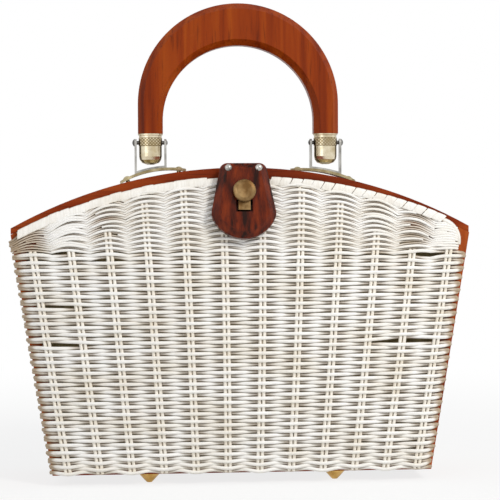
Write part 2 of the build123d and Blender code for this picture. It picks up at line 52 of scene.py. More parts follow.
# %% [markdown]
# ## The camera
# The photograph was taken from a little to the left of the middle, at about the height of
# the lid, from roughly a metre away. Key points of the bag, such as the corners of the
# case and the ends of the handle, were matched to find the place and the lens.

# %% Camera
SENSOR_WIDE = 36.0
PICTURE_PIXELS = 500
LENS_PIXELS = 1616.9
CAMERA_AT = (-80.2, -1100.0, 190.0)
PICTURE_RISE = -0.003

camera_data = bpy.data.cameras.new("camera")
camera = bpy.data.objects.new("camera", camera_data)
bpy.context.scene.collection.objects.link(camera)
bpy.context.scene.camera = camera
camera_data.sensor_width = SENSOR_WIDE
camera_data.lens = SENSOR_WIDE * LENS_PIXELS / PICTURE_PIXELS
camera_turn = Matrix((
    (0.99682, 0.007196, -0.079359),
    (-0.079546, 0.030989, -0.996349),
    (-0.00471, 0.999494, 0.031463),
))
camera.matrix_world = Matrix.Translation(Vector(CAMERA_AT) * MM) @ camera_turn.to_4x4()
camera_data.shift_y = PICTURE_RISE
camera_data.clip_start = 0.05
camera_data.clip_end = 20.0
print("camera", [round(v, 3) for v in camera.location], "lens", round(camera_data.lens, 1))

# %% [markdown]
# ## Light
# The photograph's main light comes from the right and above and is fairly small, which
# gives the canes crisp shadows. A wide, weak lamp fills from the left, and the world lights
# the rest evenly. The levels are plain, so that a colour renders about as it is written.
# The camera, mirrors and glass see white all round instead of the room's grey.

# %% Lamps and world
ROOM_STRENGTH = 0.52


def linear(hex_colour):
    """An sRGB hex colour as linear red, green, blue and alpha."""
    parts = [int(hex_colour[i:i + 2], 16) / 255 for i in (1, 3, 5)]
    low, high = (lambda c: c / 12.92), (lambda c: ((c + 0.055) / 1.055) ** 2.4)
    return tuple(low(c) if c <= 0.04045 else high(c) for c in parts) + (1.0,)


def put(tree, kind, settings=None, sockets=None):
    """Adds one node. A socket is given a value, or another node's output to be linked to."""
    made = tree.nodes.new(kind)
    for name, value in (settings or {}).items():
        if name == "stops":
            ramp = made.color_ramp.elements
            while len(ramp) < len(value):
                ramp.new(0.5)
            for stop, (place, colour) in zip(ramp, value):
                stop.position = place
                stop.color = linear(colour)
        else:
            setattr(made, name, value)
    for name, value in (sockets or {}).items():
        if isinstance(value, bpy.types.NodeSocket):
            tree.links.new(value, made.inputs[name])
        else:
            made.inputs[name].default_value = value
    return made


def lamp(name, size, place, aim, watts, colour):
    """A soft rectangular lamp at a place, turned towards its aim, in metres."""
    data = bpy.data.lights.new(name, "AREA")
    data.shape = "RECTANGLE"
    data.size, data.size_y = size
    data.energy = watts
    data.color = linear(colour)[:3]
    made = bpy.data.objects.new(name, data)
    bpy.context.scene.collection.objects.link(made)
    made.location = place
    made.rotation_euler = (Vector(aim) - Vector(place)).to_track_quat("-Z", "Y").to_euler()


lamp("key_lamp", (0.32, 0.32), (0.75, -1.0, 1.05), (0, 0, 0.15), 12.6, "#FFFCF8")
lamp("fill_lamp", (0.9, 0.9), (-1.1, -1.1, 0.6), (0, 0, 0.12), 2.6, "#F6F9FF")

world = bpy.data.worlds.new("white_studio")
bpy.context.scene.world = world
world.use_nodes = True
world.node_tree.nodes.clear()
path = put(world.node_tree, "ShaderNodeLightPath")
seen = put(world.node_tree, "ShaderNodeMath", {"operation": "MAXIMUM"},
           {0: path.outputs["Is Camera Ray"], 1: path.outputs["Is Glossy Ray"]})
seen = put(world.node_tree, "ShaderNodeMath", {"operation": "MAXIMUM"},
           {0: seen.outputs[0], 1: path.outputs["Is Transmission Ray"]})
room = put(world.node_tree, "ShaderNodeBackground", None,
           {"Color": linear("#F4F6FA"), "Strength": ROOM_STRENGTH})
backdrop = put(world.node_tree, "ShaderNodeBackground", None,
               {"Color": linear("#FFFFFF"), "Strength": 1.0})
either = put(world.node_tree, "ShaderNodeMixShader", None,
             {0: seen.outputs[0], 1: room.outputs[0], 2: backdrop.outputs[0]})
put(world.node_tree, "ShaderNodeOutputWorld", None, {"Surface": either.outputs[0]})
bpy.context.scene.view_settings.view_transform = "Standard"
print("two lamps and a white room")

# %% [markdown]
# ## The floor
# The bag stands on plain white paper. The paper is lit like anything else, so the bag
# keeps its shadow, but most of what the camera sees of it is plain white, as in a
# photograph whose background has been cleaned. The share of plain white rises away from
# the bag, so that the far edge of the paper can't be told from the backdrop. A holdout
# or a brighter lamp could whiten it too, but the one would lose the shadow and the other
# would wash out the canes. The sizes in this cell are in metres.

# %% Floor
FLOOR_WIDE = 6.0
SHADOW_NEAR, SHADOW_FAR = 0.15, 0.75
WHITE_NEAR = 0.8

bpy.ops.mesh.primitive_plane_add(size=FLOOR_WIDE, location=(0, 0, 0))
floor = bpy.context.object
floor.name = "floor"
floor_paint = bpy.data.materials.new("white_backdrop_paper")
floor_paint.use_nodes = True
tree = floor_paint.node_tree
tree.nodes.clear()
path = put(tree, "ShaderNodeLightPath")
seen = put(tree, "ShaderNodeMath", {"operation": "MAXIMUM"},
           {0: path.outputs["Is Camera Ray"], 1: path.outputs["Is Glossy Ray"]})
place = put(tree, "ShaderNodeTexCoord")
far = put(tree, "ShaderNodeVectorMath", {"operation": "LENGTH"}, {0: place.outputs["Object"]})
far = put(tree, "ShaderNodeMapRange", {"interpolation_type": "SMOOTHSTEP"},
          {"Value": far.outputs["Value"], "From Min": SHADOW_NEAR, "From Max": SHADOW_FAR,
           "To Min": WHITE_NEAR, "To Max": 1.0})
seen = put(tree, "ShaderNodeMath", {"operation": "MULTIPLY"},
           {0: seen.outputs[0], 1: far.outputs[0]})
paper = put(tree, "ShaderNodeBsdfDiffuse", None, {"Color": linear("#F2F2F0")})
white = put(tree, "ShaderNodeEmission", None, {"Color": linear("#FFFFFF"), "Strength": 1.0})
either = put(tree, "ShaderNodeMixShader", None,
             {0: seen.outputs[0], 1: paper.outputs[0], 2: white.outputs[0]})
put(tree, "ShaderNodeOutputMaterial", None, {"Surface": either.outputs[0]})
floor.data.materials.append(floor_paint)
bpy.ops.object.select_all(action="DESELECT")
print("floor", floor.name)

# %% [markdown]
# ## The shape of the weave
# Each panel is woven on twelve pairs of upright stakes that fan out like the case's sides.
# The panel bulges: it lies flat on the case at its edges and stands out 11 mm in the
# middle. These few functions give that shape in millimetres, from the same sizes as the
# solids, so that every strand lies where the solid panel is. CANE is a cane's radius, and
# WAVE is how far a row swings out and in as it passes the stakes. The flap and knob stand
# out in front and count in the frame's box, so the case's middle plane is at MIDDLE_Y.

# %% Sizes of the weave
LID_HALF, BASE_HALF, FLOOR_Z = 152.6, 126.5, 7.0
UNDER_MID, UNDER_RISE = 203.0, 36.5
UNDER_RADIUS = (LID_HALF**2 + UNDER_RISE**2) / (2 * UNDER_RISE)
LEAN = (LID_HALF - BASE_HALF) / (UNDER_MID - UNDER_RISE - FLOOR_Z)
HALF_DEPTH, BULGE, MIDDLE_Y = 35.0, 11.0, 4.35
STAKES = 12
CANE = 1.26
WAVE = 1.2
SEAT = HALF_DEPTH + CANE + WAVE


def under_lid(x):
    """Height of the lid's underside."""
    return UNDER_MID - UNDER_RADIUS + math.sqrt(UNDER_RADIUS**2 - min(abs(x), LID_HALF) ** 2)


def case_half(z):
    """Half width of the case at a height."""
    return BASE_HALF + LEAN * (z - FLOOR_Z)


def weave_out(x, z):
    """How far the middle of the weave stands out from the case's middle plane."""
    share = min(1.0, abs(x) / case_half(z))
    top = under_lid(share * LID_HALF)
    height = (z - (FLOOR_Z + top) / 2) / ((top - FLOOR_Z) / 2)
    return SEAT + BULGE * max(0.0, 1 - height**2) * (1 - share**2)


print("the weave stands out", round(weave_out(0, 100) - SEAT, 1), "mm in the middle")

# %% [markdown]
# ## Rows of cane
# A weaver cane passes in front of one pair of stakes and behind the next, and the row
# above does the opposite. The weave could be a picture on a smooth panel, but its shadows
# and uneven edges are what make it look woven, so every row is a strand of its own. A few
# rows have slipped apart, as they do on an old bag. Each slip gives its place, how wide it
# is and how far it opens.

# %% What all rows share
ROW_PITCH = 2.5
BOW_SHARP, BOW_LEVEL = 0.8, 0.62
SLIPS = {
    "front": [(122.4, 152.1, 8, 1.25), (110.9, 94.8, 24, 1.3), (-120.3, 119.6, 17, 0.9),
              (-119.2, 93.2, 17, 1.1), (-118.0, 153.6, 8, 0.75), (-88.9, 149.4, 9, 0.65)],
    "back": [(96.0, 131.0, 18, 1.1), (-70.0, 72.0, 15, 0.8)],
}
SLIP_FADE = 7.0


def bow(u):
    """Rows bow up over a stake and make a sharp valley between two."""
    return abs(math.cos(math.pi * u)) ** BOW_SHARP - BOW_LEVEL


def stake_count_at(x, z):
    """Place across the panel counted in stakes: 0 at the first stake, 11 at the last."""
    return (x / case_half(z) + 1) * STAKES / 2 - 0.5


def slipped(face, x, z):
    """Height after the rows round a gap have slipped apart."""
    moved = z
    for gap_x, gap_z, half, opening in SLIPS[face]:
        near = math.exp(-abs((x - gap_x) / half) ** 3) * math.exp(-abs(z - gap_z) / SLIP_FADE)
        moved += math.copysign(opening * near, z - gap_z)
    return moved


print("gaps in the weave:", {face: len(slips) for face, slips in SLIPS.items()})

# %% [markdown]
# ### Level rows
# Low down the rows lie level. They dip at the stakes near the bottom of the case, and the
# last ones begin to bow up over the stakes. The lowest four are pressed a little closer.
# Each row sags and tilts by a chance amount, because it was woven by hand.

# %% Level rows
FIRST_ROW = 1.9
PRESSED_ROWS, PRESSED_BY = 4, 0.25
LEVEL_TOP = 156.0
LEVEL_ROWS = int((LEVEL_TOP - FLOOR_Z - FIRST_ROW) / ROW_PITCH) + 1
LEVEL_BOW, BOW_REACH = 1.3, 14.0
LEVEL_DIP, DIP_REACH = 1.6, 16.0
SAG, SAG_WAVES, TILT = 0.15, 1.3, 0.002


def level_row(face, index):
    """One row of the lower part, as a function of x."""
    base = FLOOR_Z + FIRST_ROW + ROW_PITCH * index - (PRESSED_BY * min(index, PRESSED_ROWS))
    sag = random.uniform(-SAG, SAG)
    tilt = random.uniform(-TILT, TILT)

    def height(x):
        u = stake_count_at(x, base)
        dip = LEVEL_DIP * max(0.0, 1 - (base - FLOOR_Z) / DIP_REACH)
        rise = LEVEL_BOW * max(0.0, (base - LEVEL_TOP + BOW_REACH) / BOW_REACH)
        bent = rise * bow(u) - dip * (math.cos(math.pi * u) ** 2 - 0.5)
        return slipped(face, x, base + sag * math.sin(u * SAG_WAVES + index) + tilt * x + bent)

    return height


print("level rows", LEVEL_ROWS)

# %% [markdown]
# ### Packed rows
# Near the lid the rows are packed closer, rise with its arch and bow up over every stake,
# more so higher up and away from the middle. The panel is lower at its sides, so some rows
# end before they get there, and their neighbours close up. Scaling all the rows to fit
# would be simpler, but canes don't get thinner, and the ends that show would be missing.

# %% Packed rows
RIM_HIGH, BEHIND_RIM = 6.0, 2.0
BACK_DROP, FRONT_PROUD, FRONT_ASKEW = 3.0, 1.0, 2.6
PACKED_LOW, PACKED_ROWS = 154.3, 25
LEAST_PITCH, LEAST_ROOM = 1.5, 4.0
FADE, FADED = 0.12, 0.25
PACKED_BOW, BOW_MORE = 1.3, 1.9
MORE_UP, MORE_NEAR, MORE_OUT = 0.35, 40, 110
TIGHT, THINNEST = 1.12, 0.6


def rim_top(face, x):
    """Height of the panel's top edge. The front one sits a little askew, higher at the right."""
    if face == "back":
        return under_lid(x) - BACK_DROP
    return under_lid(x) + FRONT_PROUD + FRONT_ASKEW * max(0.0, x / LID_HALF)


def outlasts(index):
    """How much of the room has to be left for a row to go on, from 0 to 1.

    The index is read backwards in binary, which spreads the short rows among the long ones.
    """
    return int(format(index, "05b")[::-1], 2) / 32.0


def packed_room(face, x):
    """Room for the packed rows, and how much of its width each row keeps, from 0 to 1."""
    room = max(LEAST_ROOM, rim_top(face, x) - RIM_HIGH - PACKED_LOW)
    left = min(PACKED_ROWS, room / LEAST_PITCH) / PACKED_ROWS
    kept = [(left - outlasts(i)) / FADE + FADED for i in range(PACKED_ROWS)]
    return room, [min(1.0, max(0.0, share)) for share in kept]


def packed_row(face, index):
    """One row of the upper part, as a function of x. Rows close up where others end."""

    def height(x):
        top = rim_top(face, x) - RIM_HIGH + BEHIND_RIM
        kept = packed_room(face, x)[1]
        share_up = (sum(kept[:index]) + kept[index] / 2) / sum(kept)
        z = PACKED_LOW + share_up * max(ROW_PITCH, top - PACKED_LOW)
        more = min(1.0, share_up / MORE_UP) * min(1.0, (abs(x) + MORE_NEAR) / MORE_OUT)
        bent = (PACKED_BOW + BOW_MORE * more) * bow(stake_count_at(x, z))
        return slipped(face, x, z + bent)

    return height


def packed_thickness(face, index, x):
    """Rows that are pressed together look thinner. A row that has ended has no thickness."""
    room, kept = packed_room(face, x)
    if kept[index] < FADED:
        return 0.0
    fitting = TIGHT * room / sum(kept) / (2 * CANE)
    return max(THINNEST, min(1.0, fitting)) * (0.5 + 0.5 * kept[index])


print("packed rows", PACKED_ROWS)

# %% [markdown]
# ### The rounded corner
# At the top right of the front the canes follow the corner round, and the wood shows past
# them. A row ends where it would leave this arc, or the upright edge below it.

# %% Rounded corner
CORNER_IN, CORNER_RADIUS, CORNER_DROP = 5.2, 15, 17.0


def beyond_corner(x, z):
    """Outside the rounded corner at the right-hand end, where the wood shows past the canes."""
    edge = case_half(z) - CORNER_IN
    centre_x = edge - CORNER_RADIUS
    centre_z = under_lid(centre_x) - CORNER_DROP
    rounded = math.hypot(x - centre_x, z - centre_z) > CORNER_RADIUS
    return x > edge or (x > centre_x and z > centre_z and rounded)


print("corner radius", CORNER_RADIUS, "mm")

# %% [markdown]
# ## Making the canes
# A cane is a round stick bent along a path. It could be a cylinder that a modifier bends,
# but a curve with a round bevel takes its path point by point, so each cane is a curve. All
# the rows of a panel go into one curve object, which is then converted to a mesh. The
# strands keep few sides, because there are about a hundred of them.

# %% Canes as bevelled curves


def canes(name, strands):
    """Strands are lists of (x, y, z, thickness) in millimetres; one mesh comes back."""
    curve = bpy.data.curves.new(name, "CURVE")
    curve.dimensions = "3D"
    curve.bevel_depth = CANE * MM
    curve.bevel_resolution = 1
    curve.use_fill_caps = True
    for strand in strands:
        spline = curve.splines.new("POLY")
        spline.points.add(len(strand) - 1)
        for point, (x, y, z, thick) in zip(spline.points, strand):
            point.co = (x * MM, (y + MIDDLE_Y) * MM, z * MM, 1)
            point.radius = thick
    made = bpy.data.objects.new(name, curve)
    bpy.context.scene.collection.objects.link(made)
    bpy.ops.object.select_all(action="DESELECT")
    made.select_set(True)
    bpy.context.view_layer.objects.active = made
    bpy.ops.object.convert(target="MESH")
    bpy.ops.object.shade_smooth()
    made = bpy.context.object
    made.name = name
    bpy.ops.object.select_all(action="DESELECT")
    triangles = sum(len(polygon.vertices) - 2 for polygon in made.data.polygons)
    print(name, len(strands), "strands,", triangles, "triangles")
    return made


# %% [markdown]
# ### Windows in the panels
# The front panel is cut away for the keeper of the catch and for the flap's hinge, and the
# back one for the two hinges of the lid. The windows could be cut out of the finished mesh,
# but a cut would leave open tubes, so each strand ends in front of a window with a cap.

# %% Windows
KEEPER_HALF, KEEPER_Z = 10.0, 181.5
FLAP_HINGE_HALF, FLAP_HINGE_Z = 15.6, 196.2
HINGE_NEAR, HINGE_FAR, HINGE_Z = 17.6, 42.4, 191.0


def in_window(face, x, z):
    """Where the panel is cut away: for the keeper and hinge at the front, for hinges behind."""
    if face == "front":
        keeper = abs(x) < KEEPER_HALF and z > KEEPER_Z
        return keeper or (abs(x) < FLAP_HINGE_HALF and z > FLAP_HINGE_Z)
    return HINGE_NEAR < abs(x) < HINGE_FAR and z > HINGE_Z


print("windows at the front from", KEEPER_Z, "mm up, behind from", HINGE_Z, "mm up")

# %% [markdown]
# ### From a row to its strands
# A row swings out over one pair of stakes and in behind the next. At a panel's sides it
# curls back towards the case, and the rows close up there in pairs. Some rows at the right
# end a little short, and show the wood. A packed row swings less, because it has less room,
# and looks thickest where it is in front.

# %% Strands of a row
ROW_STEPS = STAKES * 8
WAVE_SQUARE = 0.75
END_LOOP, LOOP_IN, LOOP_PAIRING = 0.5, 3.4, 0.24
LEFT_OVER, RIGHT_SHORT, RIGHT_SHORTER = 0.5, 0.4, 1.3
BEHIND, BEHIND_THIN, FRONT_THICK, LOOP_THICK = -0.6, 0.1, 0.03, 0.1
PACKED_SWING, PACKED_THICK = 0.7, 0.28


def row_strands(face, height, index, packed_index=None):
    """The strands of one row: split at the windows, and turned in at the sides."""
    sign = -1 if face == "front" else 1
    strands, strand = [], []
    for i in range(ROW_STEPS + 1):
        u = -0.5 + STAKES * i / ROW_STEPS
        share = (u + 0.5 - STAKES / 2) / (STAKES / 2)
        x = share * case_half(height(share * case_half(100)))
        z = height(x)
        side = max(0.0, -u, u - (STAKES - 1)) / END_LOOP
        wave = math.cos(math.pi * (u + index))
        wave = math.copysign(abs(wave) ** WAVE_SQUARE, wave) * (1 - side**2)
        thick = 1.0 + FRONT_THICK * wave - BEHIND_THIN * (wave < BEHIND)
        ended = in_window(face, x, z)
        if packed_index is not None:
            thick = packed_thickness(face, packed_index, x)
            ended = ended or thick == 0 or (face == "front" and beyond_corner(x, z))
            wave *= max(PACKED_SWING, thick)
            thick *= 1.0 + PACKED_THICK * wave
        else:
            z += side**2 * (LOOP_PAIRING if index % 2 else -LOOP_PAIRING) * ROW_PITCH
            thick += LOOP_THICK * side**2
        out = weave_out(x, z) + WAVE * wave - LOOP_IN * side**3
        if x < 0 or face == "back":
            x += math.copysign(LEFT_OVER * side**2 * (1 + (index % 3 == 0)), x)
        else:
            x -= side**2 * (RIGHT_SHORT if index % 3 == 0 else RIGHT_SHORTER)
        if ended:
            if len(strand) > 2:
                strands.append(strand)
            strand = []
        else:
            strand.append((x, sign * out, z, thick))
    if len(strand) > 2:
        strands.append(strand)
    return strands


# %% [markdown]
# ### Stakes
# Two thin canes stand side by side at each stake. The packed rows hide the ends of the
# outer ones, which stop lower down. Above the level rows the stakes sink a little, because
# the packed rows stand out over them.

# %% Stakes
STAKE_STEPS = 45
STAKE_APART, STAKE_OUT, STAKE_THICK = 1.42, 0.2, 0.97
STAKE_FOOT, STAKE_UNDER_RIM = 1.2, 2.5
STAKE_SUNK, SINK_OVER = 0.7, 8.0
STAKE_ENDS = [157.0, 158.5, 172.0, 190.0, 210.0, 210.0]


def stake_strands(face):
    """Twelve pairs of upright canes, as strands."""
    sign = -1 if face == "front" else 1
    strands = []
    for i in range(STAKES):
        for apart in (-STAKE_APART, STAKE_APART):
            strand = []
            for step in range(STAKE_STEPS):
                z = FLOOR_Z + STAKE_FOOT + (UNDER_MID - FLOOR_Z) * step / (STAKE_STEPS - 1)
                x = ((i + 0.5) / STAKES * 2 - 1) * case_half(z) + apart
                end = min(rim_top(face, x) - STAKE_UNDER_RIM, STAKE_ENDS[min(i, STAKES - 1 - i)])
                if z > end or in_window(face, x, z):
                    break
                sunk = (z - LEVEL_TOP + SINK_OVER / 2) / SINK_OVER
                sunk = STAKE_SUNK * min(1.0, max(0.0, sunk))
                out = weave_out(x, z) + STAKE_OUT - sunk
                strand.append((x, sign * out, z, STAKE_THICK))
            strands.append(strand)
    return strands


# %% [markdown]
# ### Weaving both panels
# Rows and stakes stay two pieces, because their paint has worn differently.

# %% Weave
weave = {}
for face in ("front", "back"):
    rows = []
    for i in range(LEVEL_ROWS):
        rows += row_strands(face, level_row(face, i), i)
    for i in range(PACKED_ROWS):
        rows += row_strands(face, packed_row(face, i), i + LEVEL_ROWS, i)
    weave[face + "_weavers"] = canes(face + "_weavers", rows)
    weave[face + "_stakes"] = canes(face + "_stakes", stake_strands(face))

# %% [markdown]
# ## The wrapped rim
# The top edge of each panel is bound with flat cane, wound slantwise round a core that
# follows the lid. A bevelled curve would be a smooth rod, so the binding is made turn by
# turn. One turn is a short sleeve: an open cylinder, cut across a few times in edit mode,
# then flattened, slanted and drawn in a little at its ends.

# %% One turn of the binding
WRAP, WRAP_JOINT = 7.1, 0.42
SLEEVE_SIDES, SLEEVE_CUTS = 20, 3
WRAP_THICK, WRAP_SQUARE, WRAP_SLANT = 1.9, 0.45, 0.45
DRAWN_IN, DRAWN_SHARP = 0.07, 5


def rim_sleeve():
    """One turn of flat cane round the core, lying along X, in millimetres."""
    bpy.ops.mesh.primitive_cylinder_add(vertices=SLEEVE_SIDES, radius=1.0,
                                        depth=WRAP - WRAP_JOINT, end_fill_type="NOTHING",
                                        rotation=(0, math.pi / 2, 0))
    sleeve = bpy.context.object
    bpy.ops.object.transform_apply(location=False, rotation=True, scale=False)
    bpy.ops.object.mode_set(mode="EDIT")
    bpy.ops.mesh.select_all(action="DESELECT")
    bpy.ops.object.mode_set(mode="OBJECT")
    for edge in sleeve.data.edges:
        a, b = (sleeve.data.vertices[v].co.x for v in edge.vertices)
        edge.select = abs(a - b) > 1.0
    bpy.ops.object.mode_set(mode="EDIT")
    bpy.ops.mesh.subdivide(number_cuts=SLEEVE_CUTS)
    bpy.ops.object.mode_set(mode="OBJECT")
    for vertex in sleeve.data.vertices:
        drawn = 1.0 - DRAWN_IN * abs(vertex.co.x / (WRAP / 2)) ** DRAWN_SHARP
        square = max(abs(vertex.co.y), abs(vertex.co.z)) ** -WRAP_SQUARE
        vertex.co.y *= WRAP_THICK * square * drawn
        vertex.co.z *= RIM_HIGH / 2 * square * drawn
        vertex.co.x += WRAP_SLANT * vertex.co.z
    bpy.ops.object.shade_smooth()
    bpy.ops.object.select_all(action="DESELECT")
    return sleeve


# %% [markdown]
# ### The binding along the arch
# The sleeve is made once and copied along the arch, each copy with its own mesh. At the
# right of the front thin dark joints show between the turns. At the left the turns overlap
# and sit unevenly, because the binding is worn there. At the right the bare core goes on
# past the last turn and bends down round the corner.

# %% Rim
RIM_OUT, RIM_END, FRONT_RIM_END = 2.8, 144.5, 136
TURN_UNEVEN, SIZE_UNEVEN = 0.025, 0.04
WORN_LEFT_OF, WORN_LONG, WORN_DOWN, WORN_UP = -12, 1.16, 0.5, 0.3
CORE_OUT, CORE_THICK, CORE_END = 2.0, 1.3, 134
BEND_X, BEND_Z, BEND_RADIUS = 131.0, under_lid(132) - 15.5, 14.0
BEND_STEPS, BEND_START, BEND_STEP = 9, 62, 9
BEND_THICK, BEND_THINNER = 1.5, 0.06


def rim_core(face):
    """Points of the bare core behind the sleeves, and round the corner at the front."""
    sign = -1 if face == "front" else 1
    core = [(x, sign * (HALF_DEPTH + CORE_OUT), rim_top(face, x) - RIM_HIGH / 2, CORE_THICK)
            for x in range(-148, 149, 4)]
    if face == "front":
        core = [point for point in core if point[0] < CORE_END]
        for i in range(BEND_STEPS):
            turn = math.radians(BEND_START - BEND_STEP * i)
            x = BEND_X + BEND_RADIUS * math.cos(turn)
            z = BEND_Z + BEND_RADIUS * math.sin(turn)
            core.append((x, -HALF_DEPTH - RIM_OUT, z, BEND_THICK - BEND_THINNER * i))
    return [point for point in core if not in_window(face, point[0], point[2])]


def rim(face):
    """Sleeves and core set along the arch under the lid, joined into one mesh."""
    sign = -1 if face == "front" else 1
    sleeve = rim_sleeve()
    arch_radius = UNDER_RADIUS - RIM_HIGH / 2
    step = WRAP / arch_radius
    count = int(math.asin(RIM_END / arch_radius) / step)
    made = []
    for i in range(-count, count + 1):
        angle = i * step + random.uniform(-TURN_UNEVEN, TURN_UNEVEN) * step
        x = arch_radius * math.sin(angle)
        z = rim_top(face, x) - RIM_HIGH / 2 / math.cos(angle)
        cut_away = in_window(face, x - 3.0, z) or in_window(face, x + 3.0, z)
        if cut_away or (face == "front" and x > FRONT_RIM_END):
            continue
        piece = sleeve.copy()
        piece.data = sleeve.data.copy()
        bpy.context.scene.collection.objects.link(piece)
        size = 1 + random.uniform(-SIZE_UNEVEN, SIZE_UNEVEN)
        place = Matrix.Translation((x, sign * (HALF_DEPTH + RIM_OUT) + MIDDLE_Y, z))
        stretch = 1
        if face == "front" and x < WORN_LEFT_OF:
            stretch = WORN_LONG
            place = place @ Matrix.Translation((0, 0, random.uniform(-WORN_DOWN, WORN_UP)))
        place = place @ Matrix.Rotation(angle, 4, "Y")
        place = place @ Matrix.Diagonal((stretch, size, size, 1))
        piece.data.transform(Matrix.Scale(MM, 4) @ place)
        made.append(piece)
    bpy.data.objects.remove(sleeve)
    print(face, "binding", len(made), "turns")
    core = rim_core(face)
    made.append(canes("rim_core_left", [[point for point in core if point[0] < 0]]))
    made.append(canes("rim_core_right", [[point for point in core if point[0] >= 0]]))
    bpy.ops.object.select_all(action="DESELECT")
    for piece in made:
        piece.select_set(True)
    bpy.context.view_layer.objects.active = made[0]
    bpy.ops.object.join()
    joined = bpy.context.object
    joined.name = joined.data.name = face + "_rim"
    bpy.ops.object.select_all(action="DESELECT")
    return joined


for face in ("front", "back"):
    weave[face + "_rim"] = rim(face)

# %% [markdown]
# ## How deep each point of a cane lies
# Paint is thin and dirt gathers where a cane dives behind a stake, and the cane lies in
# shade there. Each vertex is given a number from 0 at the outside of the weave to 1 at its
# back, and the paint's material turns the deeper places brown: painted shade, with some
# dirt. On the binding of the rim the brown falls on the backs of the turns and on the core
# behind them. A texture in space couldn't follow the panel's bulge, and an Ambient
# Occlusion node would darken the same places more slowly and with more noise.

# %% Depth of the canes
RIM_FACE, RIM_DEEP = 4.9, 2.6

for name, piece in weave.items():
    places = np.zeros(len(piece.data.vertices) * 3)
    piece.data.vertices.foreach_get("co", places)
    places = places.reshape(-1, 3) / MM
    if name.endswith("rim"):
        deep = [(HALF_DEPTH + RIM_FACE - abs(y - MIDDLE_Y)) / RIM_DEEP for x, y, z in places]
    else:
        deep = [
            (weave_out(x, z) + WAVE + CANE - abs(y - MIDDLE_Y)) / (2 * (WAVE + CANE))
            for x, y, z in places
        ]
    layer = piece.data.attributes.new("cane_depth", "FLOAT", "POINT")
    layer.data.foreach_set("value", np.clip(deep, 0, 1).astype(np.float32))
print("cane_depth on", len(weave), "pieces")

# %% [markdown]
# ## Materials
# Every finish starts from what it is on the real bag. A helper makes an empty material
# with its shader, and the nodes that follow give it colour, grain and relief. Patterns
# read Object coordinates, which are metres, so two more helpers turn a real size in
# millimetres into a texture's scale. One unit of a Noise texture is one feature. One wave
# of a Wave texture is a tenth of pi. All scales are whole numbers.

# %% A blank finish and the scales of patterns


def per_metre(size):
    """A Noise texture's scale for features of a size in millimetres."""
    return round(1 / (size * MM))


def waves_per_metre(size):
    """A Wave texture's scale for waves of a size in millimetres."""
    return round(math.pi / 10 / (size * MM))


def finish(name, **constants):
    """A material with one Principled shader. Constants are set on the shader's own sockets."""
    made = bpy.data.materials.new(name)
    made.use_nodes = True
    made.node_tree.nodes.clear()
    shader = put(made.node_tree, "ShaderNodeBsdfPrincipled", None,
                 {key.replace("_", " "): value for key, value in constants.items()})
    put(made.node_tree, "ShaderNodeOutputMaterial", None, {"Surface": shader.outputs[0]})
    return made, made.node_tree, shader


def paint(objects, material):
    """The material becomes the only one on each object."""
    for item in objects:
        item.data.materials.clear()
        item.data.materials.append(material)


# %% [markdown]
# ### Painted rattan core
# The canes are round rattan core, painted warm white with a brush. The paint is satin,
# runs along each strand in faint streaks, and is creamier on the upright stakes. Real
# brush marks are a few tenths of a millimetre apart. That is too fine to show, so they are
# drawn 1.1 mm apart and eight times as long. Patches 17 mm across keep the panel from
# being one even white.

# %% Painted cane
STREAK_APART, STREAK_SQUEEZE = 1.111, 0.12
PATCH_ACROSS = 16.7


def painted_cane(name, light, dark, along):
    """White paint streaked along the cane, patchy over the panel, brown where deep: painted shade,
    dirt.
    """
    made, tree, shader = finish(name, Roughness=0.48, Coat_Weight=0.12, Coat_Roughness=0.3)
    place = put(tree, "ShaderNodeTexCoord")
    squeeze = {"x": (STREAK_SQUEEZE, 1, 1), "z": (1, 1, STREAK_SQUEEZE)}[along]
    on_cane = put(tree, "ShaderNodeMapping", None,
                  {"Vector": place.outputs["Object"], "Scale": squeeze})
    streaks = put(tree, "ShaderNodeTexNoise", None,
                  {"Vector": on_cane.outputs[0], "Scale": per_metre(STREAK_APART), "Detail": 4.0})
    on_panel = put(tree, "ShaderNodeMapping", None,
                   {"Vector": place.outputs["Object"], "Scale": (0.5, 1, 1)})
    patches = put(tree, "ShaderNodeTexNoise", None,
                  {"Vector": on_panel.outputs[0], "Scale": per_metre(PATCH_ACROSS), "Detail": 2.0})
    tone = put(tree, "ShaderNodeValToRGB", {"stops": [(0.3, dark), (0.62, light)]},
               {"Fac": streaks.outputs[0]})
    warm = put(tree, "ShaderNodeValToRGB", {"stops": [(0.35, "#F4F0E8"), (0.6, "#FFFFFF")]},
               {"Fac": patches.outputs[0]})
    both = put(tree, "ShaderNodeMix", {"data_type": "RGBA", "blend_type": "MULTIPLY"},
               {"Factor": 0.75, 6: tone.outputs[0], 7: warm.outputs[0]})
    # Deeper places turn brown: painted shade in the hollows of the weave, with some dirt.
    depth = put(tree, "ShaderNodeAttribute", {"attribute_name": "cane_depth"})
    deep_shade_and_dirt = put(tree, "ShaderNodeMapRange", {"interpolation_type": "SMOOTHSTEP"},
               {"Value": depth.outputs["Fac"], "From Min": 0.32, "From Max": 0.68,
                "To Min": 0.0, "To Max": 0.9})
    colour = put(tree, "ShaderNodeMix", {"data_type": "RGBA"},
                 {"Factor": deep_shade_and_dirt.outputs[0], 6: both.outputs[2], 7: linear("#A68E6E")})
    tree.links.new(colour.outputs[2], shader.inputs["Base Color"])
    relief = put(tree, "ShaderNodeBump", None,
                 {"Strength": 0.25, "Distance": 0.0003, "Height": streaks.outputs[0]})
    tree.links.new(relief.outputs[0], shader.inputs["Normal"])
    return made


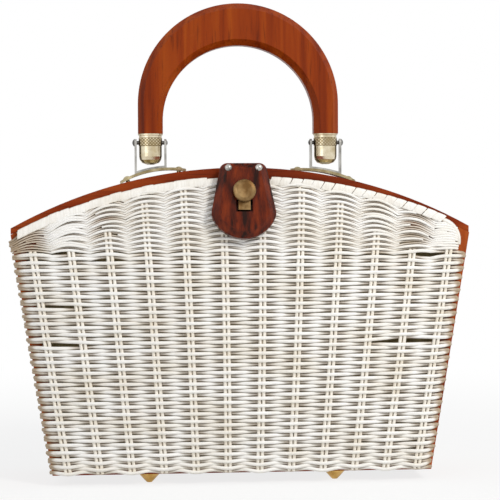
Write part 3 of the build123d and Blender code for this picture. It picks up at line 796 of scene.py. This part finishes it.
weaver_paint = painted_cane("brushed_white_paint_on_rattan", "#FCFBF8", "#F0EDE7", "x")
stake_paint = painted_cane("cream_paint_on_rattan_stakes", "#FDF8EE", "#EEE6D7", "z")
rim_paint = painted_cane("brushed_white_paint_on_flat_cane", "#FCFAF5", "#F0ECE4", "z")
for face in ("front", "back"):
    paint([weave[face + "_weavers"]], weaver_paint)
    paint([weave[face + "_stakes"]], stake_paint)
    paint([weave[face + "_rim"]], rim_paint)
    for part in ("_weavers", "_stakes", "_rim"):
        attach(weave[face + part], "case")
    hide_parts(face + "_wicker")
print("canes painted")

# %% [markdown]
# ### Woods
# The case and lid are plain boards, stained reddish brown. The handle is a lighter,
# orange-brown wood with an upright grain, and the flap is rosewood with dark stripes under
# lacquer. Their mirror shine is kept low, so that the white room doesn't wash out the
# colour. The grain is noise that is stretched twenty times along the wood. Its bands are
# 11 mm wide on the boards, 8 mm on the handle and 4 mm on the flap. Real pores are about
# 0.2 mm wide. That is too fine to show, so they are drawn as wide as a seventh of a band.

# %% Wood
GRAIN_SQUEEZE, PORES_IN_BAND = 0.05, 7


def wood(name, stops, pore, along, band, rough, coat, swirl=0.6):
    """Grain and pores along an axis: the stops are the grain's colours, from dark to light."""
    made, tree, shader = finish(name, Roughness=rough, Specular_IOR_Level=0.12,
                                Coat_Weight=coat, Coat_Roughness=0.08)
    place = put(tree, "ShaderNodeTexCoord")
    squeeze = {"x": (GRAIN_SQUEEZE, 1, 1), "z": (1, 1, GRAIN_SQUEEZE)}[along]
    on_wood = put(tree, "ShaderNodeMapping", None,
                  {"Vector": place.outputs["Object"], "Scale": squeeze})
    grain = put(tree, "ShaderNodeTexNoise", None,
                {"Vector": on_wood.outputs[0], "Scale": per_metre(band), "Detail": 5.0,
                 "Distortion": swirl})
    pores = put(tree, "ShaderNodeTexNoise", None,
                {"Vector": on_wood.outputs[0], "Scale": per_metre(band) * PORES_IN_BAND,
                 "Detail": 3.0})
    colour = put(tree, "ShaderNodeValToRGB", {"stops": stops}, {"Fac": grain.outputs[0]})
    lines = put(tree, "ShaderNodeMapRange", None,
                {"Value": pores.outputs[0], "From Min": 0.56, "From Max": 0.7,
                 "To Min": 0.0, "To Max": 0.55})
    mixed = put(tree, "ShaderNodeMix", {"data_type": "RGBA"},
                {"Factor": lines.outputs[0], 6: colour.outputs[0], 7: linear(pore)})
    tree.links.new(mixed.outputs[2], shader.inputs["Base Color"])
    relief = put(tree, "ShaderNodeBump", None,
                 {"Strength": 0.18, "Distance": 0.0002, "Height": pores.outputs[0]})
    tree.links.new(relief.outputs[0], shader.inputs["Normal"])
    return made


case_wood = wood("stained_mahogany_boards",
                 [(0.25, "#641E04"), (0.5, "#8C340C"), (0.75, "#A44A18")],
                 "#441404", "x", 11.1, 0.45, 0.0)
end_wood = wood("stained_mahogany_upright",
                [(0.25, "#7A2C0A"), (0.5, "#A04818"), (0.75, "#BC6428")],
                "#441404", "z", 11.1, 0.45, 0.0)
handle_wood = wood("varnished_cherry_handle",
                   [(0.28, "#641C00"), (0.5, "#8A3404"), (0.74, "#A0480C")],
                   "#481400", "z", 8.33, 0.36, 0.05)
flap_wood = wood("lacquered_rosewood",
                 [(0.34, "#240800"), (0.5, "#5C1C04"), (0.66, "#782C0A")],
                 "#140200", "z", 4.0, 0.26, 0.1, swirl=0.1)
paint([nodes["lid"], nodes["bottom_board"], nodes["front_rail"], nodes["back_rail"]], case_wood)
paint([nodes["side_board_left"], nodes["side_board_right"]], end_wood)
paint([nodes["handle"]], handle_wood)
paint([nodes["flap"]], flap_wood)
print("four woods on the case, lid, handle and flap")

# %% [markdown]
# ### Metals
# The fittings are thin brass pressings. The plates are pale and worn, the clasp has gone
# olive and brown with handling, the feet are yellower, and the bails and domed rivets are
# nickel-plated. Brushing and a little tarnish keep them from looking new. The tarnish lies
# in spots 6 mm across. Real brushing is finer than 0.1 mm. That is too fine to show, so it
# is drawn 2.5 mm wide and ten times as high, in the roughness and relief alone.

# %% Metal
SPOT_ACROSS, BRUSH_APART, BRUSH_SQUEEZE = 6.25, 2.5, 0.1


def metal(name, light, dark, roughness):
    """Tarnish in two tones, with brushing that changes how rough the surface is."""
    made, tree, shader = finish(name, Metallic=1.0)
    place = put(tree, "ShaderNodeTexCoord")
    tarnish = put(tree, "ShaderNodeTexNoise", None,
                  {"Vector": place.outputs["Object"], "Scale": per_metre(SPOT_ACROSS),
                   "Detail": 4.0})
    brushed = put(tree, "ShaderNodeMapping", None,
                  {"Vector": place.outputs["Object"], "Scale": (1, 1, BRUSH_SQUEEZE)})
    brushing = put(tree, "ShaderNodeTexNoise", None,
                   {"Vector": brushed.outputs[0], "Scale": per_metre(BRUSH_APART), "Detail": 2.0})
    colour = put(tree, "ShaderNodeValToRGB", {"stops": [(0.35, dark), (0.65, light)]},
                 {"Fac": tarnish.outputs[0]})
    rough = put(tree, "ShaderNodeMapRange", None,
                {"Value": brushing.outputs[0], "From Min": 0.3, "From Max": 0.7,
                 "To Min": roughness * 0.75, "To Max": roughness * 1.4})
    tree.links.new(colour.outputs[0], shader.inputs["Base Color"])
    tree.links.new(rough.outputs[0], shader.inputs["Roughness"])
    relief = put(tree, "ShaderNodeBump", None,
                 {"Strength": 0.12, "Distance": 0.0001, "Height": brushing.outputs[0]})
    tree.links.new(relief.outputs[0], shader.inputs["Normal"])
    return made


plate_brass = metal("worn_brass_plate", "#BDB08C", "#887A54", 0.3)
clasp_brass = metal("tarnished_clasp_brass", "#9A7E56", "#6A4E2E", 0.34)
foot_brass = metal("yellow_brass_feet", "#D6AE66", "#B08844", 0.3)
nickel = metal("nickel_plated_steel", "#C2C0BA", "#8F8D88", 0.25)
dark_nickel = metal("dull_pin_steel", "#7C7A76", "#4A4845", 0.35)
plates = ("base_plate_left", "base_plate_right", "plate_rivets_left", "plate_rivets_right")
clasp = ("clasp_plate", "clasp_knob", "clasp_tongue", "clasp_keeper")
paint([nodes[n] for n in plates], plate_brass)
paint([nodes[n] for n in clasp], clasp_brass)
paint([nodes[n] for n in nodes if n.startswith("foot_")], foot_brass)
paint([nodes[n] for n in nodes if n.startswith("bail_") or n.startswith("flap_rivet")], nickel)
paint([nodes["handle_pin_left"], nodes["handle_pin_right"]], dark_nickel)
paint([nodes[n] for n in nodes if "hinge" in n], plate_brass)
print("five metals on the fittings")

# %% [markdown]
# ### Ferrules
# The cups at the ends of the handle are polished brass. Their left and right sides, as seen
# from the front, are painted darker, as painted shade on the curve of the cup. They have a
# band of diamond knurling near the top, with grooves 1.5 mm apart. Cutting the grooves into
# the mesh would take thousands of faces for a band 6 mm high, so two sets of slanted lines
# cross in the colour as dark grooves, which are painted shade, and a lower and an upper
# height bound them.

# %% Ferrules
HANDLE_LEG_X = 59.9
UNSHADED_HALF, FERRULE_HALF = 4.5, 8.4
KNURL_LOW, KNURL_HIGH = 225.2, 231.0
KNURL_LEAN, KNURL_APART = 0.8, 1.496

ferrule_brass = metal("polished_ferrule_brass", "#E6DCC2", "#C2B290", 0.2)
tree = ferrule_brass.node_tree
shader = next(node for node in tree.nodes if node.type == "BSDF_PRINCIPLED")
polished = shader.inputs["Base Color"].links[0].from_socket
place = put(tree, "ShaderNodeTexCoord")
apart = put(tree, "ShaderNodeSeparateXYZ", None, {0: place.outputs["Object"]})
across = put(tree, "ShaderNodeMath", {"operation": "ABSOLUTE"}, {0: apart.outputs["X"]})
across = put(tree, "ShaderNodeMath", {"operation": "SUBTRACT"},
             {0: across.outputs[0], 1: HANDLE_LEG_X * MM})
across = put(tree, "ShaderNodeMath", {"operation": "ABSOLUTE"}, {0: across.outputs[0]})
# Painted shade: the cup's left and right sides, as seen from the front, are darkened.
shaded_sides = put(tree, "ShaderNodeMapRange", {"interpolation_type": "SMOOTHSTEP"},
                {"Value": across.outputs[0], "From Min": UNSHADED_HALF * MM,
                 "From Max": FERRULE_HALF * MM, "To Min": 0.0, "To Max": 0.65})
edged = put(tree, "ShaderNodeMix", {"data_type": "RGBA"},
            {"Factor": shaded_sides.outputs[0], 6: polished, 7: linear("#7A6238")})
diamonds = []
for lean in (KNURL_LEAN, -KNURL_LEAN):
    leant = put(tree, "ShaderNodeMapping", None,
                {"Vector": place.outputs["Object"], "Rotation": (0, lean, 0)})
    diamonds.append(put(tree, "ShaderNodeTexWave", {"bands_direction": "X"},
                        {"Vector": leant.outputs[0], "Scale": waves_per_metre(KNURL_APART)}))
knurl = put(tree, "ShaderNodeMath", {"operation": "MULTIPLY"},
            {0: diamonds[0].outputs[1], 1: diamonds[1].outputs[1]})
above = put(tree, "ShaderNodeMath", {"operation": "GREATER_THAN"},
            {0: apart.outputs["Z"], 1: KNURL_LOW * MM})
below = put(tree, "ShaderNodeMath", {"operation": "LESS_THAN"},
            {0: apart.outputs["Z"], 1: KNURL_HIGH * MM})
band = put(tree, "ShaderNodeMath", {"operation": "MULTIPLY"},
           {0: above.outputs[0], 1: below.outputs[0]})
# The knurl's grooves are painted dark: painted shade in its hollows.
grooves = put(tree, "ShaderNodeMapRange", None,
              {"Value": knurl.outputs[0], "From Min": 0.15, "From Max": 0.5,
               "To Min": 0.85, "To Max": 0.0})
knurled = put(tree, "ShaderNodeMath", {"operation": "MULTIPLY"},
              {0: grooves.outputs[0], 1: band.outputs[0]})
banded = put(tree, "ShaderNodeMix", {"data_type": "RGBA"},
             {"Factor": knurled.outputs[0], 6: edged.outputs[2], 7: linear("#7E6A44")})
tree.links.new(banded.outputs[2], shader.inputs["Base Color"])
paint([nodes["ferrule_left"], nodes["ferrule_right"]], ferrule_brass)
print("ferrules", ferrule_brass.name)

# %% [markdown]
# ### Lining
# Behind the weave the case is lined with a khaki cotton stretched over board. It shows
# only where the canes have slipped apart, and when the lid is open. Real threads are about
# half a millimetre apart. They are drawn 1 mm apart, so that the cloth shows as woven.

# %% Lining cloth
THREAD_APART = 0.982

made, tree, shader = finish("khaki_cotton_lining", Roughness=0.9, Sheen_Weight=0.2)
place = put(tree, "ShaderNodeTexCoord")
threads = []
for direction in ("X", "Z"):
    threads.append(put(tree, "ShaderNodeTexWave", {"bands_direction": direction},
                       {"Vector": place.outputs["Object"],
                        "Scale": waves_per_metre(THREAD_APART), "Distortion": 0.8}))
weft = put(tree, "ShaderNodeMath", {"operation": "MULTIPLY"},
           {0: threads[0].outputs[1], 1: threads[1].outputs[1]})
cloth = put(tree, "ShaderNodeValToRGB", {"stops": [(0.1, "#8E7E56"), (0.8, "#C4B282")]},
            {"Fac": weft.outputs[0]})
tree.links.new(cloth.outputs[0], shader.inputs["Base Color"])
relief = put(tree, "ShaderNodeBump", None,
             {"Strength": 0.3, "Distance": 0.0002, "Height": weft.outputs[0]})
tree.links.new(relief.outputs[0], shader.inputs["Normal"])
paint([nodes["lining"]], made)
print("lining", made.name)
